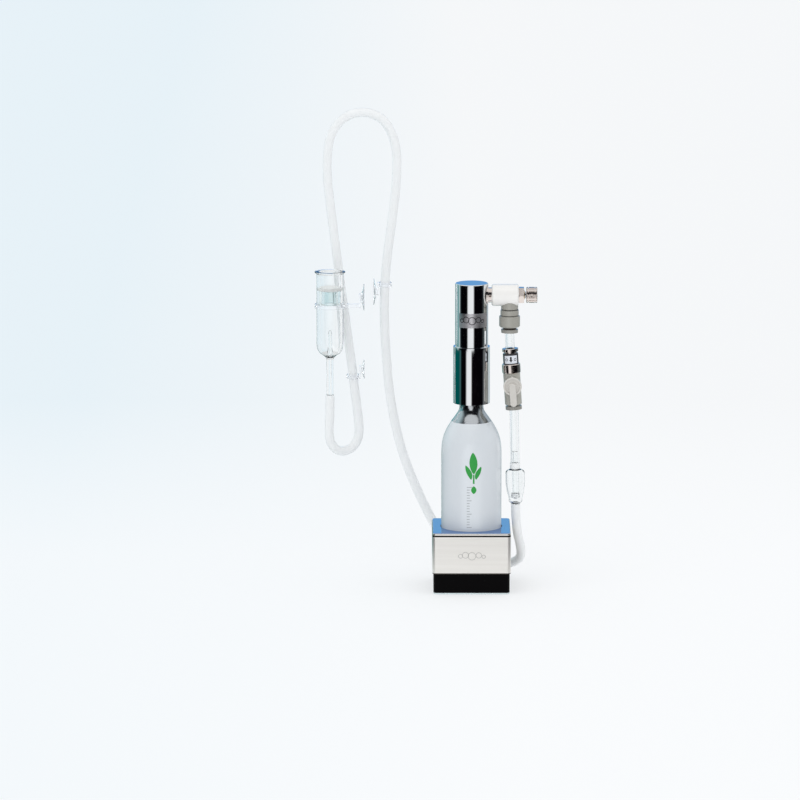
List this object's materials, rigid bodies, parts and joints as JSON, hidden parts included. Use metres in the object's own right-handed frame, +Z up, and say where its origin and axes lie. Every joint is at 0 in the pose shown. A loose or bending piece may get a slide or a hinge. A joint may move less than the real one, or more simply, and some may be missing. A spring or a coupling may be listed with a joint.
{
  "type": "aquarium carbon dioxide diffusion kit",
  "caption": "Carbon dioxide kit for a planted aquarium: gas bottle in a square stand, regulator, needle valve, ball valve, glass check valve, silicone tube and glass diffuser.",
  "frame": {"origin": "centre of the stand's base, on the surface that it stands on", "axes": "+Z up along the bottle and regulator; +X from the bottle to the needle valve; +Y to the back"},
  "size_m": [0.148, 0.107, 0.3122],
  "materials": {
    "satin_steel": "satin brushed stainless sheet, mirror-polished top",
    "black_block": "gloss black moulded block",
    "clear_foot": "clear rubber foot pad",
    "cushion_rubber": "matte black rubber",
    "bottle_paint": "satin white paint on steel, bare chrome neck",
    "chrome": "mirror chrome plate",
    "nickel": "warm nickel plate",
    "brass": "machined brass",
    "seal_rubber": "black nitrile rubber",
    "sinter": "sintered bronze",
    "nylon": "white nylon or PTFE",
    "spring_steel": "bright spring steel",
    "resin_white": "off-white glossy resin",
    "resin_grey": "warm grey semi-gloss resin",
    "resin_dark": "dark grey gloss resin",
    "clear_tube": "clear pressure tube",
    "silicone": "translucent silicone",
    "glass": "clear blown laboratory glass",
    "ceramic_disc": "white sintered porous disc",
    "clear_cup": "clear soft PVC"
  },
  "bodies": {
    "stand": {"stand_pad": "clear_foot", "stand_block": "black_block", "stand_cover": "satin_steel", "bottle_cushion": "cushion_rubber", "silicone_tube": "silicone", "outer_clip_cup": "clear_cup", "outer_clip_ring": "clear_cup", "tube_clip_cup": "clear_cup", "tube_clip_ring": "clear_cup", "diffuser_clip_cup": "clear_cup", "diffuser_clip_ring": "clear_cup", "diffuser_glass": "glass", "diffuser_disc": "ceramic_disc", "diffuser_seat": "glass", "diffuser_nozzle": "glass"},
    "cartridge": {"cartridge_bottle": "bottle_paint", "cartridge_seal_cap": "spring_steel"},
    "regulator": {"regulator_sleeve": "chrome", "cartridge_gasket": "nylon", "piercing_pin": "spring_steel", "inlet_filter": "sinter", "valve_seat": "nylon", "stem_ring": "seal_rubber", "regulator_barrel": "chrome", "barrel_ring": "seal_rubber", "outlet_gasket": "seal_rubber", "outlet_nipple": "nickel", "control_body": "resin_white", "needle_sleeve": "brass", "needle_ring": "seal_rubber", "elbow_body": "resin_grey", "elbow_seal": "seal_rubber", "elbow_chuck": "spring_steel", "pressure_tube_upper": "clear_tube", "pressure_tube_lower": "clear_tube", "tube_sleeve": "silicone", "check_valve_glass": "glass", "check_valve_inner": "glass", "check_valve_seal": "silicone", "piston_spring": "spring_steel"},
    "piston": {"piston": "brass", "piston_ring": "seal_rubber"},
    "needle": {"flow_needle": "spring_steel"},
    "flow_knob": {"flow_knob": "nickel"},
    "lock_nut": {"lock_nut": "nickel"},
    "elbow_collet": {"elbow_collet": "resin_grey"},
    "shutoff_valve": {"valve_body": "resin_grey", "valve_inlet_barrel": "resin_dark", "valve_collar": "nickel", "upper_ball_seat": "nylon", "lower_ball_seat": "nylon", "stem_seal": "seal_rubber", "valve_tube_seals": "seal_rubber", "valve_chucks": "spring_steel"},
    "valve_handle": {"valve_handle": "resin_grey", "valve_stem": "spring_steel", "valve_ball": "chrome"},
    "valve_inlet_collet": {"valve_inlet_collet": "resin_dark"},
    "valve_outlet_collet": {"valve_outlet_collet": "resin_grey"}
  },
  "joints": [
    {"name": "bottle_turn", "type": "hinge", "parent": "stand", "child": "cartridge", "pos_m": [0, 0, 0.003], "axis": [0, 0, 1], "range_deg": [-2160, 0]},
    {"name": "regulator_lift", "type": "slide", "parent": "stand", "child": "regulator", "axis": [0, 0, 1], "range_m": [0, 0.00848]},
    {"name": "piston_travel", "type": "slide", "parent": "regulator", "child": "piston", "axis": [0, 0, 1], "range_m": [-0.0008, 0], "stiffness_N_per_m": 3000, "springref_m": 0.002, "deforming": ["piston_spring"]},
    {"name": "needle_travel", "type": "slide", "parent": "regulator", "child": "needle", "axis": [1, 0, 0], "range_m": [0, 0.004]},
    {"name": "flow_knob_turn", "type": "hinge", "parent": "needle", "child": "flow_knob", "pos_m": [0.036, 0, 0.197], "axis": [1, 0, 0], "range_deg": [0, 2881]},
    {"name": "lock_nut_turn", "type": "hinge", "parent": "regulator", "child": "lock_nut", "pos_m": [0.031, 0, 0.197], "axis": [1, 0, 0], "range_deg": [0, 90]},
    {"name": "elbow_collet_push", "type": "slide", "parent": "regulator", "child": "elbow_collet", "axis": [0, 0, 1], "range_m": [0, 0.0012], "stiffness_N_per_m": 400, "springref_m": -0.0002},
    {"name": "valve_swivel", "type": "hinge", "parent": "regulator", "child": "shutoff_valve", "pos_m": [0.02705, 0, 0.13681], "axis": [-0.0628, 0, 0.998], "range_deg": [-180, 180]},
    {"name": "valve_handle_turn", "type": "hinge", "parent": "shutoff_valve", "child": "valve_handle", "pos_m": [0.02705, 0, 0.13681], "axis": [0, -1, 0], "range_deg": [0, 90]},
    {"name": "valve_inlet_collet_push", "type": "slide", "parent": "shutoff_valve", "child": "valve_inlet_collet", "axis": [0.0628, 0, -0.998], "range_m": [0, 0.0008], "stiffness_N_per_m": 400, "springref_m": -0.0002},
    {"name": "valve_outlet_collet_push", "type": "slide", "parent": "shutoff_valve", "child": "valve_outlet_collet", "axis": [-0.0628, 0, 0.998], "range_m": [0, 0.0008], "stiffness_N_per_m": 400, "springref_m": -0.0002}
  ],
  "couplings": [
    {"joint": "regulator_lift", "follows": "bottle_turn", "m_per_rad": -0.00022459},
    {"joint": "flow_knob_turn", "follows": "needle_travel", "rad_per_m": 12566}
  ]
}
